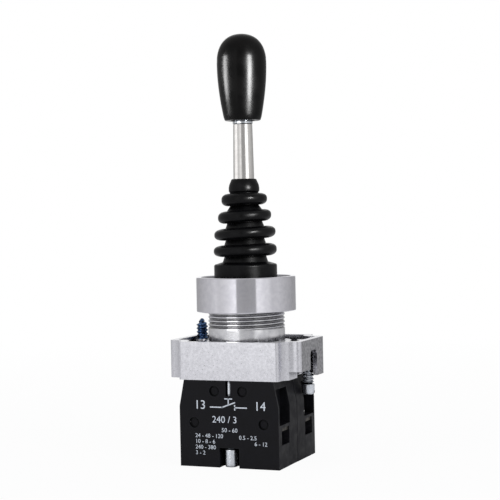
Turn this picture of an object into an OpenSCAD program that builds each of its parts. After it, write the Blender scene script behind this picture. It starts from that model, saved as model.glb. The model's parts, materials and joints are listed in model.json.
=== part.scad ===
// Panel joystick with one lever, two directions and a spring return, for a 22.5 mm panel hole.
// The origin is the centre of the panel face that the bezel ring presses on.
// +Z runs up the lever, -Y is the printed front, and X is the long side of the fixing collar.

/* [Lever] */
// Height of the top of the grip above the panel
lever_top = 79.1; // [74:0.1:90]
// Height of the grip
grip_h = 24.7; // [22:0.1:30]
// Largest diameter of the grip
grip_d = 14.2; // [13:0.1:18]
// Diameter of the grip at its lower end
grip_foot_d = 10.4; // [10:0.1:12]
// Diameter of the lever rod at the top of the boot
rod_d = 6.0; // [5.4:0.1:6.2]
// Tilt of the lever to each side, in degrees
tilt_limit = 13; // [8:1:13]
// Depth of the tilt axis below the panel face
pivot_depth = 6; // [5.5:0.1:6.5]

/* [Boot] */
// Height of the top of the boot above the panel
boot_top = 37.7; // [36:0.1:39]
// Height of the middle of the lowest fold
fold_base = 17.3; // [17:0.1:17.8]
// Distance between folds
fold_pitch = 4.85; // [4.6:0.05:5]
// Wall of the boot
boot_wall = 1.1; // [0.8:0.1:1.3]

/* [Head] */
// Outside diameter of the bezel ring
ring_d = 28.6; // [28:0.1:32]
// Height of the bezel ring above the panel
ring_h = 9.85; // [9.8:0.05:12]
// Diameter of the threaded neck
neck_d = 22; // [21.8:0.1:22.2]

/* [Collar] */
// Gap between the bezel ring and the collar, which the panel and the screw travel share
panel_gap = 7.9; // [7:0.1:10]
// Height of the collar
collar_h = 10.65; // [10.5:0.05:12]
// Length of the collar over its two end lugs
collar_len = 39.8; // [39.4:0.1:44]
// Side of the square middle of the collar
collar_side = 29.9; // [29.6:0.1:31]
// Distance of each pressure screw from the middle
clamp_x = 16.4; // [16:0.1:16.6]
// Height of the left pressure screw above the top of the collar
left_screw_out = 5.1; // [0:0.1:6.4]
// Depth of the right pressure screw below the top of the collar
right_screw_in = 0.9; // [0.9:0.1:3]

/* [Contact blocks] */
// Width of a contact block
block_w = 29.7; // [29.4:0.1:30]
// Depth of a contact block from its printed face to its back
block_d = 14.8; // [14.7:0.1:14.8]
// Height of a contact block
block_h = 24.3; // [24:0.1:26]
// Gap between the open contacts at the end of the push
contact_spare = 0.06; // [0.02:0.01:0.2]

/* [Hidden] */
$fn = 64;
cut = 0.01;

// Levels, from the top down
pivot_z = -pivot_depth;
grip_z = lever_top - grip_h;
collar_top = -panel_gap;
collar_base = collar_top - collar_h;
block_top = collar_base;
block_base = block_top - block_h;

// Lever
rod_top_d = rod_d - 0.5;
spigot_d = 5;
stud_d = 4;
rod_chamfer = 0.3;
washer_h = 0.9;
washer_d = 5.7;
stud_top = grip_z + 11.5;
insert_d = 7;
insert_h = 12;
boss_top = 2.6;
spigot_end = pivot_z + 2.5;
lock_z = 0.2;
lock_d = 1.5;

// Rocker under the lever
arm = 7.5;
stroke = arm * tilt_limit * PI / 180;
hub_r = 4;
hub_half = 4.5;
pin_d = 3;
pin_half = 8.6;
running = 0.05;
nose_r = 1.2;
nose_half = 1.8;
nose_z = pivot_z - 2;
rest_gap = 0.05;

// Neck, its inner carrier and the guide plate
neck_top = 6.2;
cavity_r = 9.4;
carrier_r = 7.8;
carrier_top = 5.2;
slot_half = 3.4;
guide_top = -12.5;
guide_base = -16.6;
neck_base = -17.8;
push_d = 3;
push_top = nose_z - nose_r - rest_gap;
snap_base = -17.5;
snap_top = -16.6;
snap_in = 10.5;
snap_out = 11.8;

// Bezel ring and boot flange
flange_h = 1.4;
lip_base = neck_top + flange_h;
lip_h = 1.05;
lip_r = 9.3;
rim_wall = 1.35;
edge = 0.5;
boot_foot_r = 9.03;
fold_radii = [9.05, 8.8, 7.65, 6.55];
root_radii = [6.0, 5.55, 5.05, 4.1];
fold_half = 1.75;
cuff_r = 4.4;

// Collar
collar_half = collar_side / 2;
lug_half = 10.2;
rim_w = 1.8;
dish = 0.8;
well = 2.2;
neck_boss_r = 12.7;
corner_r = 0.8;
lug_corner_r = 1.4;
sweep_r = 3.4;
bore_clear = 0.05;
arch_w = 5.6;
arch_y = 0.8;
arch_r = 1.2;
arch_top = collar_top - 3.2;
room_w = 4.4;
room_near = 4;
room_far = lug_half - rim_w;
lug_lift = 2.25;
lift_x = collar_half + 1.6;
clamp_y = 5.5;
clamp_boss_r = 3;
clamp_r = 1.7;
clamp_len = 15.5;
clamp_head_r = 1.85;
clamp_head_h = 3;
clamp_thread = 11.9;
clamp_neck_r = 1.2;
fix_y = 13.15;
fix_r = 1.25;
fix_head_r = 1.75;
fix_head_h = 4.8;
fix_reach = 5.5;

// Contact block, drawn for the front one and turned half round for the back one
block_back = 0.1;
block_front = block_back + block_d;
split_y = 7.1;
shoulder_half = 13.4;
shoulder_z = block_top - 7.4;
notch_half = 2.95;
notch_h = 5.5;
notch_y = 11.2;
slit_half = 0.8;
slit_h = 4.4;
peg_r = 0.95;
peg_spots = [[4.2, 3.0], [10.4, 11.9]];
dimple_r = 1.55;
dimple_deep = 0.7;
chamber_y = 3.1;
chamber_x = 3.1;
chamber_top = block_top - 2.05;
chamber_base = block_base + 2.5;
wing_x = 8.6;
wing_top = block_top - 6.05;
stem_r = 1.8;
stem_top = block_top - 0.45;
body_half = 2.9;
body_top = block_top - 4.05;
body_base = block_top - 15.35;
tail_r = 1.2;
tail_h = 4;

// Contacts
strip_top = block_top - 13.05;
strip_h = 1;
strip_y = 9.6;
strip_w = 5.4;
strip_in = 4.6;
rivet_x = 6.9;
rivet_r = 1.3;
rivet_h = 0.6;
bridge_rivet_h = 0.5;
bridge_half = 8.2;
bridge_h = 0.8;
bridge_w = 3;
bridge_z = strip_top + rivet_h + contact_spare + stroke + bridge_rivet_h;
window_top = block_top - 7.05;

// Terminals
term_x = 12;
term_w = 6;
term_in = 9.7;
term_wall = 0.55;
entry_base = strip_top - strip_h - 3.8;
upper_top = strip_top + 10.8;
upper_base = strip_top + 0.8;
upper_w = 8.2;
upper_y = 10.1;
upper_in = 11.9;
clamp_plate_h = 0.8;
clamp_plate_w = 4.2;
clamp_plate_z = strip_top - strip_h - 5.4;
term_r = 1.45;
term_head_r = 2.1;
term_head_h = 1.8;
access_r = 2.45;

// A rectangle with round corners, centred
module rounded(w, d, r) {
    square([w - 2 * r, d], center = true);
    square([w, d - 2 * r], center = true);
    for (sx = [-1, 1], sy = [-1, 1])
        translate([sx * (w / 2 - r), sy * (d / 2 - r)]) circle(r);
}

// A box from one corner to the other
module span_box(low, high) {
    translate(low) cube(high - low);
}

// A cylinder along X, centred
module bar_x(r, half) {
    rotate([0, 90, 0]) cylinder(r = r, h = 2 * half, center = true);
}

// A coil spring as one swept wire, standing on z = 0
function coil_point(r, wire_r, h, turns, steps, i) =
    let (turn = 360 * turns * i / steps, rise = wire_r + (h - 2 * wire_r) * i / steps)
    [r * cos(turn), r * sin(turn), rise];

module coil(r, wire_r, h, turns, per_turn, sides) {
    steps = turns * per_turn;
    points = [
        for (i = [0:steps], k = [0:sides - 1])
            let (c = coil_point(r, wire_r, h, turns, steps, i), turn = 360 * turns * i / steps)
            let (out = wire_r * cos(360 * k / sides), up = wire_r * sin(360 * k / sides))
            [c[0] + out * cos(turn), c[1] + out * sin(turn), c[2] + up]
    ];
    walls = [
        for (i = [0:steps - 1], k = [0:sides - 1])
            let (a = i * sides + k, b = i * sides + (k + 1) % sides)
            [a, b, b + sides, a + sides]
    ];
    first = [[for (k = [0:sides - 1]) sides - 1 - k]];
    last = [[for (k = [0:sides - 1]) steps * sides + k]];
    polyhedron(points = points, faces = concat(walls, first, last), convexity = 4);
}

// The grip's outline from its foot to its top: a slightly crowned taper, then a full dome
function grip_side(t) = grip_foot_d / 2 + (grip_d - grip_foot_d) / 2 * pow(sin(90 * t), 0.9);
grip_dome = grip_h * 0.34;
grip_outline = concat(
    [[0, 0]],
    [for (i = [0:8]) [grip_side(i / 8), (grip_h - grip_dome) * i / 8]],
    [
        for (a = [10:10:80])
            [grip_d / 2 * pow(cos(a), 0.87), grip_h + grip_dome * (pow(sin(a), 0.87) - 1)]
    ],
    [[0, grip_h]]
);

module grip() {
    color("#151515")
    translate([0, 0, grip_z])
    difference() {
        rotate_extrude($fn = 96) polygon(grip_outline);
        translate([0, 0, -cut]) cylinder(d = insert_d, h = insert_h + 1.5 + cut);
    }
}

module grip_insert() {
    color("#b58d3d")
    translate([0, 0, grip_z + 0.4])
    difference() {
        cylinder(d = insert_d, h = insert_h);
        translate([0, 0, -cut]) cylinder(d = stud_d, h = insert_h + 2 * cut);
        translate([0, 0, insert_h / 2 - 0.6])
        difference() {
            cylinder(d = insert_d + 1, h = 1.2);
            translate([0, 0, -cut]) cylinder(d = insert_d - 1, h = 1.2 + 2 * cut);
        }
    }
}

module grip_washer() {
    color("#c9cccd")
    translate([0, 0, grip_z - washer_h])
    difference() {
        cylinder(d = washer_d, h = washer_h);
        translate([0, 0, -cut]) cylinder(d = stud_d, h = washer_h + 2 * cut);
    }
}

module lever_rod() {
    shoulder = grip_z - washer_h;
    color("#d8dadb")
    difference() {
        rotate_extrude($fn = 96)
        polygon([
            [0, spigot_end], [spigot_d / 2, spigot_end], [spigot_d / 2, boss_top],
            [rod_d / 2, boss_top], [rod_d / 2, boot_top], [rod_top_d / 2, shoulder - rod_chamfer],
            [rod_top_d / 2 - rod_chamfer, shoulder], [stud_d / 2, shoulder],
            [stud_d / 2, stud_top], [0, stud_top]
        ]);
        translate([0, 0, lock_z]) bar_x(lock_d / 2, rod_d);
    }
}

module lock_pin() {
    color("#8e9194")
    translate([0, 0, lock_z]) bar_x(lock_d / 2, hub_r - 0.4);
}

// Cross hub on the pivot pin, with one arm and rounded nose over each push rod
module rocker_hub() {
    color("#9fa3a6")
    difference() {
        union() {
            translate([0, 0, pivot_z]) bar_x(hub_r, hub_half);
            translate([0, 0, pivot_z]) cylinder(r = hub_r, h = boss_top - pivot_z);
            span_box([-nose_half, -arm, nose_z - nose_r / 2], [nose_half, arm, nose_z + nose_r]);
            for (side = [-1, 1])
                translate([0, side * arm, nose_z]) bar_x(nose_r, nose_half);
        }
        translate([0, 0, pivot_z]) bar_x(pin_d / 2 + running, hub_half + 1);
        translate([0, 0, spigot_end]) cylinder(d = spigot_d, h = 20);
        translate([0, 0, lock_z]) bar_x(lock_d / 2, hub_r + 1);
    }
}

module pivot_pin() {
    color("#a9adb0")
    translate([0, 0, pivot_z]) bar_x(pin_d / 2, pin_half);
}

// Sleeve inside the neck whose two cheeks hold the pivot pin
module pivot_carrier() {
    cheek = hub_half + 0.2;
    color("#3a3c3e")
    difference() {
        union() {
            difference() {
                translate([0, 0, guide_top]) cylinder(r = cavity_r, h = carrier_top - guide_top);
                translate([0, 0, guide_top - cut]) cylinder(r = carrier_r, h = 30);
            }
            intersection() {
                translate([0, 0, guide_top]) cylinder(r = carrier_r + 0.4, h = 10);
                for (side = [-1, 1])
                    translate([side * (cheek + 3), 0, 0])
                        span_box([-3, -3.2, guide_top], [3, 3.2, pivot_z + 3]);
            }
        }
        translate([0, 0, pivot_z]) bar_x(pin_d / 2, pin_half);
        span_box([-slot_half, -12, guide_top - cut], [slot_half, 12, pivot_z + 3]);
    }
}

// One fold of the boot, as points of a rounded lobe from its lower root to its upper root
function fold(z, root, rim, half) = [
    for (a = [0:15:180])
        let (up = (cos(a) < 0 ? -1 : 1) * pow(abs(cos(a)), 0.78))
        [root + (rim - root) * pow(sin(a), 0.85), z - half * up]
];

function fold_z(i) = fold_base + i * fold_pitch;

boot_outer = concat(
    [
        [neck_d / 2 - 0.1, neck_top], [neck_d / 2 - 0.1, lip_base], [boot_foot_r, lip_base],
        [boot_foot_r, fold_base - 4.3], [boot_foot_r - 0.4, fold_base - 3.9], [6.5, fold_base - 3.3]
    ],
    [for (i = [0:3]) each fold(fold_z(i), root_radii[i], fold_radii[i], fold_half)],
    [
        [root_radii[3], fold_z(3) + fold_half + 0.2], [cuff_r, fold_z(3) + fold_half + 0.5],
        [cuff_r, boot_top - 2.6], [4, boot_top - 1.2], [3.4, boot_top]
    ]
);
boot_inner = concat(
    [[rod_d / 2 + running, boot_top], [rod_d / 2 + running, fold_z(3) + fold_half]],
    [
        for (i = [3:-1:0]) each
            let (root = root_radii[i] - boot_wall + 0.05, rim = fold_radii[i] - boot_wall)
            let (lobe = fold(fold_z(i), root, rim, fold_half - boot_wall))
            [for (k = [len(lobe) - 1:-2:0]) lobe[k]]
    ],
    [[boot_foot_r - 2, fold_base - 5.4], [boot_foot_r - 2, neck_top]]
);

module rubber_boot() {
    color("#1b1b1c")
    rotate_extrude($fn = 96) polygon(concat(boot_outer, boot_inner));
}

module bezel_ring() {
    outer = ring_d / 2;
    color("#d3d6d8")
    rotate_extrude($fn = 128)
    polygon([
        [neck_d / 2, 0], [outer - 0.25, 0], [outer, 0.25], [outer, ring_h - edge],
        [outer - 0.15, ring_h - 0.15], [outer - edge, ring_h], [outer - rim_wall, ring_h],
        [outer - rim_wall - 0.15, lip_base + lip_h], [lip_r, lip_base + lip_h],
        [lip_r, lip_base], [neck_d / 2, lip_base]
    ]);
}

module neck_housing() {
    color("#c4c7c9")
    difference() {
        translate([0, 0, neck_base]) cylinder(d = neck_d, h = neck_top - neck_base, $fn = 128);
        translate([0, 0, neck_base - cut]) cylinder(r = cavity_r, h = 40);
        translate([0, 0, snap_base])
        difference() {
            cylinder(r = neck_d, h = snap_top - snap_base);
            translate([0, 0, -cut]) cylinder(r = snap_in, h = 2);
        }
    }
}

module guide_plate() {
    color("#47494b")
    difference() {
        translate([0, 0, guide_base]) cylinder(r = cavity_r, h = guide_top - guide_base);
        for (side = [-1, 1])
            translate([0, side * arm, guide_base - cut]) cylinder(d = push_d + 2 * running, h = 6);
        for (side = [-1, 1])
            translate([side * 5.5, 0, guide_base - cut]) cylinder(r = 2.2, h = 2.4);
        translate([0, 0, guide_base - cut]) cylinder(r = 2.2, h = 2.4);
    }
}

module push_rod(side) {
    color("#d8cfb4")
    translate([0, side * arm, stem_top])
    rotate_extrude()
    polygon([
        [0, 0], [push_d / 2, 0], [push_d / 2, push_top - stem_top - 0.3],
        [push_d / 2 - 0.3, push_top - stem_top], [0, push_top - stem_top]
    ]);
}

module front_push_rod() push_rod(-1);
module back_push_rod() push_rod(1);

// Outline of the collar seen from above, drawn in by a margin
module collar_plan(margin) {
    half = collar_half - margin;
    wide = lug_half - margin;
    rounded(2 * half, 2 * half, corner_r);
    rounded(collar_len - 2 * margin, 2 * wide, lug_corner_r);
    // Hollow sweeps where the lugs leave the square
    for (sx = [-1, 1], sy = [-1, 1])
        translate([sx * half, sy * wide])
        difference() {
            square(2 * sweep_r, center = true);
            translate([sx * sweep_r, sy * sweep_r]) circle(sweep_r);
        }
}

// Wells in the top of the casting, round the raised seats of the neck and the pressure screws
module top_wells() {
    seat = collar_top - dish;
    translate([0, 0, seat]) linear_extrude(dish + 1) collar_plan(rim_w);
    difference() {
        translate([0, 0, collar_top - well]) linear_extrude(well) collar_plan(rim_w);
        translate([0, 0, seat - well]) cylinder(r = neck_boss_r, h = well, $fn = 96);
        for (side = [-1, 1])
            translate([side * clamp_x, clamp_y, seat - well]) cylinder(r = clamp_boss_r, h = well);
    }
}

// What is cut from the collar's right end; the left end is the same, turned half round
module lug_cuts() {
    end = collar_len / 2;
    tall = arch_top - collar_base + 2;
    translate([clamp_x + room_w / 2 - 1, arch_y, arch_top - tall / 2])
        rotate([90, 0, 90]) linear_extrude(end) rounded(arch_w, tall, arch_r);
    span_box([lift_x, -collar_half, collar_base - 1], [end + 1, arch_y - arch_w / 2, collar_base + lug_lift]);
}

module fixing_collar() {
    under = collar_base - 1;
    color("#b9bbbd")
    difference() {
        translate([0, 0, collar_base]) linear_extrude(collar_h) collar_plan(0);
        top_wells();
        translate([0, 0, under]) cylinder(d = neck_d + 2 * bore_clear, h = collar_h + 2, $fn = 128);
        translate([0, 0, under]) cylinder(r = snap_out + 0.1, h = snap_top - under, $fn = 96);
        lug_cuts();
        rotate([0, 0, 180]) lug_cuts();
        // Open room in each lug, which the pressure screw crosses
        for (side = [-1, 1]) {
            translate([side * clamp_x, (room_far - room_near) / 2, under])
                linear_extrude(arch_top - under) rounded(room_w, room_far + room_near, corner_r);
            translate([side * clamp_x, clamp_y, under]) cylinder(r = clamp_r, h = collar_h + 2);
            translate([0, side * fix_y, under]) cylinder(r = fix_r, h = fix_reach + 1.4);
        }
        // Cored corners under the casting
        for (sx = [-1, 1], sy = [-1, 1])
            difference() {
                translate([sx * 9, sy * 9, collar_base + 2.5]) cube([9, 9, 9], center = true);
                translate([0, 0, collar_base - 3]) cylinder(r = neck_d / 2 + 1.6, h = 20);
            }
    }
}

// Open snap ring in the neck's groove, which holds the collar up
module retaining_ring() {
    color("#6f7376")
    difference() {
        translate([0, 0, snap_base]) cylinder(r = snap_out, h = snap_top - snap_base, $fn = 96);
        translate([0, 0, snap_base - 1]) cylinder(r = snap_in, h = 3, $fn = 96);
        span_box([8, -2.5, snap_base - 1], [14, 2.5, snap_top + 1]);
    }
}

// Slotted captive screw with a pointed end, hanging from its tip at z = 0
module pressure_screw() {
    difference() {
        rotate_extrude()
        polygon([
            [0, 0], [0.75, 0], [clamp_r, -1.6], [clamp_r, -clamp_thread],
            [clamp_neck_r, -clamp_thread - 0.5], [clamp_neck_r, clamp_head_h - clamp_len],
            [clamp_head_r - 0.25, clamp_head_h - clamp_len], [clamp_head_r, clamp_head_h - clamp_len - 0.3],
            [clamp_head_r, -clamp_len + 0.8], [clamp_head_r - 0.6, -clamp_len], [0, -clamp_len]
        ]);
        span_box([-3, -0.3, -clamp_len - 1], [3, 0.3, -clamp_len + 1.1]);
    }
}

module left_pressure_screw() {
    color("#2c3f66")
    translate([-clamp_x, clamp_y, collar_top + left_screw_out]) pressure_screw();
}

module right_pressure_screw() {
    color("#c8cbcd")
    translate([clamp_x, clamp_y, collar_top - right_screw_in]) rotate([0, 0, 35]) pressure_screw();
}

// Front view of a contact block, narrow at its shoulders
module block_front_view() {
    polygon([
        [-shoulder_half, block_top], [shoulder_half, block_top], [block_w / 2, shoulder_z],
        [block_w / 2, block_base], [-block_w / 2, block_base], [-block_w / 2, shoulder_z]
    ]);
}

// A slab of the block between two depths behind the middle plane
module block_slab(near, far) {
    translate([0, -near, 0]) rotate([90, 0, 0]) linear_extrude(far - near) block_front_view();
}

// Everything that is hollow in a block
module block_hollows() {
    // Plunger shaft, spring well and the two wings of the contact chamber
    translate([0, -arm, block_top - 4]) cylinder(r = stem_r + running, h = 5);
    span_box([-chamber_x, -arm - chamber_y, chamber_base], [chamber_x, -arm + chamber_y, chamber_top]);
    span_box([-wing_x, -arm - chamber_y, strip_top - strip_h], [wing_x, -arm + chamber_y, wing_top]);
    // Channel, slit and notch of the fixing screw
    translate([0, -fix_y, block_base]) cylinder(r = fix_r + 0.1, h = block_h + 1);
    span_box([-slit_half, -block_front - 1, block_top - slit_h], [slit_half, -fix_y, block_top + 1]);
    span_box([-notch_half, -block_front - 1, block_base - 1], [notch_half, -notch_y, block_base + notch_h]);
    for (side = [-1, 1]) {
        outer = side * block_w;
        // Strip slot, upper opening, wire entry, clamp room and screwdriver hole
        span_box([min(side * wing_x, outer), -strip_y - strip_w / 2, strip_top - strip_h],
                 [max(side * wing_x, outer), -strip_y + strip_w / 2, strip_top]);
        span_box([min(side * upper_in, outer), -upper_y - upper_w / 2, upper_base],
                 [max(side * upper_in, outer), -upper_y + upper_w / 2, upper_top]);
        span_box([min(side * term_in, outer), -strip_y - term_w / 2, entry_base],
                 [max(side * term_in, outer), -strip_y + term_w / 2, strip_top - strip_h]);
        room_out = side * (block_w / 2 - term_wall);
        span_box([min(side * term_in, room_out), -strip_y - term_w / 2, clamp_plate_z - 0.4],
                 [max(side * term_in, room_out), -strip_y + term_w / 2, entry_base + cut]);
        translate([side * term_x, -strip_y, block_base - 1]) cylinder(r = access_r, h = 6);
    }
}

// Outer half of a block, with four dimpled peg holes
module block_cover() {
    difference() {
        block_slab(split_y, block_front);
        block_hollows();
        for (spot = peg_spots, side = [-1, 1])
            translate([side * spot[0], 0, block_top - spot[1]]) rotate([90, 0, 0]) {
                cylinder(r = peg_r + 0.03, h = block_front + 1);
                translate([0, 0, block_front - dimple_deep]) cylinder(r = dimple_r, h = dimple_deep + 1);
            }
    }
}

// Inner half of a block, with the four pegs that hold the cover
module block_inner() {
    difference() {
        block_slab(block_back, split_y);
        block_hollows();
    }
    for (spot = peg_spots, side = [-1, 1])
        translate([side * spot[0], 0, block_top - spot[1]]) rotate([90, 0, 0])
            translate([0, 0, split_y - 1]) cylinder(r = peg_r, h = block_front - dimple_deep - split_y + 1.2);
}

module front_block_cover() color("#1f2022") block_cover();
module back_block_cover() color("#1f2022") rotate([0, 0, 180]) block_cover();
module front_block_base() color("#242527") block_inner();
module back_block_base() color("#242527") rotate([0, 0, 180]) block_inner();

// Plunger with a round stem, a square body with a window for the bridge, and a spring tail
module contact_plunger() {
    translate([0, -arm, 0])
    difference() {
        union() {
            translate([0, 0, body_top - 1]) cylinder(r = stem_r, h = stem_top - body_top + 1);
            span_box([-body_half, -body_half, body_base], [body_half, body_half, body_top]);
            translate([0, 0, body_base - tail_h]) cylinder(r = tail_r, h = tail_h + 1);
        }
        span_box([-4, -bridge_w / 2 - 0.1, bridge_z], [4, bridge_w / 2 + 0.1, window_top]);
    }
}

module front_contact_plunger() color("#c9c3b0") contact_plunger();
module back_contact_plunger() color("#c9c3b0") rotate([0, 0, 180]) contact_plunger();

// Moving bridge with a silver tip under each end
module contact_bridge() {
    edge_y = bridge_w / 2;
    translate([0, -arm, bridge_z]) {
        span_box([-bridge_half, -edge_y, 0], [bridge_half, edge_y, bridge_h]);
        for (side = [-1, 1])
            translate([side * rivet_x, 0, -bridge_rivet_h]) cylinder(r = rivet_r, h = bridge_rivet_h + 0.2);
    }
}

module front_contact_bridge() color("#b8793c") contact_bridge();
module back_contact_bridge() color("#b8793c") rotate([0, 0, 180]) contact_bridge();

module bridge_spring() {
    low = bridge_z + bridge_h + 0.02;
    translate([0, -arm, low]) coil(1.15, 0.2, window_top - low - 0.02, 3, 12, 6);
}

module front_bridge_spring() color("#9a9da0") bridge_spring();
module back_bridge_spring() color("#9a9da0") rotate([0, 0, 180]) bridge_spring();

module plunger_spring() {
    translate([0, -arm, chamber_base + 0.02]) coil(2.15, 0.28, body_base - chamber_base - 0.04, 6, 16, 6);
}

module front_plunger_spring() color("#9a9da0") plunger_spring();
module back_plunger_spring() color("#9a9da0") rotate([0, 0, 180]) plunger_spring();

// Two brass strips, each from a contact tip in the chamber to its terminal at the block's end
module fixed_contacts() {
    tip_near = -arm + 1.8;
    tip_far = -arm - 2.8;
    end = block_w / 2 - 0.3;
    low = strip_top - strip_h;
    for (turn = [0, 1]) mirror([turn, 0, 0])
    difference() {
        union() {
            span_box([strip_in, tip_far, low], [wing_x, tip_near, strip_top]);
            span_box([wing_x - 0.8, -arm - chamber_y, low], [wing_x, -arm + 0.6, strip_top]);
            span_box([wing_x, -strip_y - strip_w / 2, low], [end, -strip_y + strip_w / 2, strip_top]);
            translate([rivet_x, -arm, strip_top - 0.2]) cylinder(r = rivet_r, h = rivet_h + 0.2);
        }
        translate([term_x, -strip_y, strip_top - 3]) cylinder(r = term_r, h = 6);
    }
}

module front_fixed_contacts() color("#c39a4a") fixed_contacts();
module back_fixed_contacts() color("#c39a4a") rotate([0, 0, 180]) fixed_contacts();

// Slotted terminal screws, worked from below the block
module terminal_screws() {
    head_z = clamp_plate_z - term_head_h;
    for (side = [-1, 1])
        translate([side * term_x, -strip_y, 0])
        difference() {
            union() {
                translate([0, 0, head_z]) cylinder(r = term_head_r, h = term_head_h);
                translate([0, 0, clamp_plate_z - 1]) cylinder(r = term_r, h = strip_top - clamp_plate_z + 1);
            }
            span_box([-3, -0.35, head_z - 1], [3, 0.35, head_z + 0.9]);
        }
}

module front_terminal_screws() color("#c8cbcd") terminal_screws();
module back_terminal_screws() color("#c8cbcd") rotate([0, 0, 180]) terminal_screws();

// Square plates that press the wire against the strips
module clamp_plates() {
    for (side = [-1, 1])
        translate([side * term_x, -strip_y, clamp_plate_z])
        difference() {
            translate([0, 0, clamp_plate_h / 2]) cube([clamp_plate_w, strip_w, clamp_plate_h], center = true);
            translate([0, 0, -1]) cylinder(r = term_r, h = 3);
        }
}

module front_clamp_plates() color("#c8cbcd") clamp_plates();
module back_clamp_plates() color("#c8cbcd") rotate([0, 0, 180]) clamp_plates();

// Long slotted screw that holds a block up to the collar
module fixing_screw() {
    head_z = block_base + 0.2;
    neck_z = head_z + fix_head_h;
    translate([0, -fix_y, 0])
    difference() {
        union() {
            translate([0, 0, head_z]) cylinder(r = fix_head_r, h = fix_head_h);
            translate([0, 0, neck_z - 1]) cylinder(r = fix_r, h = collar_base + fix_reach - neck_z + 1);
        }
        span_box([-3, -0.3, head_z - 1], [3, 0.3, head_z + 1]);
    }
}

module front_fixing_screw() color("#c8cbcd") fixing_screw();
module back_fixing_screw() color("#c8cbcd") rotate([0, 0, 180]) fixing_screw();

grip();
grip_insert();
grip_washer();
lever_rod();
lock_pin();
rocker_hub();
pivot_pin();
pivot_carrier();
rubber_boot();
bezel_ring();
neck_housing();
guide_plate();
front_push_rod();
back_push_rod();
fixing_collar();
retaining_ring();
left_pressure_screw();
right_pressure_screw();
front_block_cover();
front_block_base();
front_contact_plunger();
front_contact_bridge();
front_bridge_spring();
front_plunger_spring();
front_fixed_contacts();
front_terminal_screws();
front_clamp_plates();
front_fixing_screw();
back_block_cover();
back_block_base();
back_contact_plunger();
back_contact_bridge();
back_bridge_spring();
back_plunger_spring();
back_fixed_contacts();
back_terminal_screws();
back_clamp_plates();
back_fixing_screw();
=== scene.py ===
"""Panel joystick with one lever, two directions and a spring return, dressed for a studio photograph.

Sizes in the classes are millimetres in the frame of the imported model, and MM turns them to metres. A pair of them
is a radius and a height, or X and Z on the printed face, where no comment says otherwise. A power below 1 makes a
curve fuller.
"""
import json
import logging
import math
from dataclasses import dataclass
from enum import Enum
from typing import Callable, Optional, Sequence

import bpy
from mathutils import Matrix, Vector

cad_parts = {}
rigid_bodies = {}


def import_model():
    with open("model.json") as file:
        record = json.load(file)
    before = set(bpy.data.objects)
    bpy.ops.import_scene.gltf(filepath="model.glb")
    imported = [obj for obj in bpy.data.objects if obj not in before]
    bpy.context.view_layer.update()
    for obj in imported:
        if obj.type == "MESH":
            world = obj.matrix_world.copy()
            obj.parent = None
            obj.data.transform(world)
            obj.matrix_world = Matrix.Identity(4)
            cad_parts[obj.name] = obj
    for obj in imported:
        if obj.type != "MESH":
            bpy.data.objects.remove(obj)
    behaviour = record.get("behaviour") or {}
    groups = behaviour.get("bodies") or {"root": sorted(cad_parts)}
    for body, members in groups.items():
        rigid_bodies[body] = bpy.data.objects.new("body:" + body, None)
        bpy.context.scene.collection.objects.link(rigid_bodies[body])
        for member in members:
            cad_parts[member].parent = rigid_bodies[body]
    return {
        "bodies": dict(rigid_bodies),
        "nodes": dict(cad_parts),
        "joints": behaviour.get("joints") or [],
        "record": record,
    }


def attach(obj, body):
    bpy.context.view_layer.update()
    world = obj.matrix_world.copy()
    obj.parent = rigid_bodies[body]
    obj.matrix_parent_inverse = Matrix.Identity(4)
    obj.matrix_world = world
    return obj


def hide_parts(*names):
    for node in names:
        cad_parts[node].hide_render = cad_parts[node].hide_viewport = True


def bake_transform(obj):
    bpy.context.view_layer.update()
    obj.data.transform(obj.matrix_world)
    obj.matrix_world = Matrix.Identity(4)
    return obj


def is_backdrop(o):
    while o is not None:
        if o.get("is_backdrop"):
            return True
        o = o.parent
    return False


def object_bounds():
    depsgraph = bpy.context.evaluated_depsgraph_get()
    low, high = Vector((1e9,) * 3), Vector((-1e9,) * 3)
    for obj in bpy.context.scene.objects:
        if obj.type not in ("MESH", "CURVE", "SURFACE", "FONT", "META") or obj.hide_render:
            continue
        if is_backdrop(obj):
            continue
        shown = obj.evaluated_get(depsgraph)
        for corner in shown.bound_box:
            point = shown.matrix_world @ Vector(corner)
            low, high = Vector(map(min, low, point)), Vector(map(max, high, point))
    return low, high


LOG = logging.getLogger("joystick")
MM = 0.001
WHITE = (1, 1, 1, 1)
# Points nearer to each other than this are one, in metres
WELD = 1e-6
# Rays of a search for hollows or edges, and the open share of the sky below which the painted shade of a hollow begins
SEARCH_RAYS, OPEN_SKY = 8, 0.96
# The solid share below a point where the painted highlight of an edge begins and where it is full, and its cover there
WEAR_SPAN, WEAR_SHARE = (0.9, 0.6), 0.6
# Noise values between which one colour of a mottled surface turns into the other
PATCH_SPAN = (0.35, 0.65)
# Font size for figures of height one, and how far a cutting tool stands out of its piece in millimetres
FONT_SCALE, OVERSHOOT = 1.4, 1.0
# Angles in degrees: faces of one plane, edges that a tumbler rounds, edges that stay sharp in the shading
FLAT_ANGLE, ROUNDED_ANGLE, SHARP_ANGLE = 0.5, 32, 50
Point = tuple[float, float]
Colour = tuple[float, float, float, float]
Piece = bpy.types.Object
Tree, ShaderNode, Socket = bpy.types.NodeTree, bpy.types.Node, bpy.types.NodeSocket


class Body(Enum):
    """The rigid bodies that a piece can ride on."""

    BASE = "base"
    LEVER = "lever"
    FRONT = "front_plunger"
    BACK = "back_plunger"


class Side(Enum):
    """The two directions of the lever, as they stand in the names of their nodes."""

    FRONT = "front"
    BACK = "back"


# Shader tools


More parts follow.
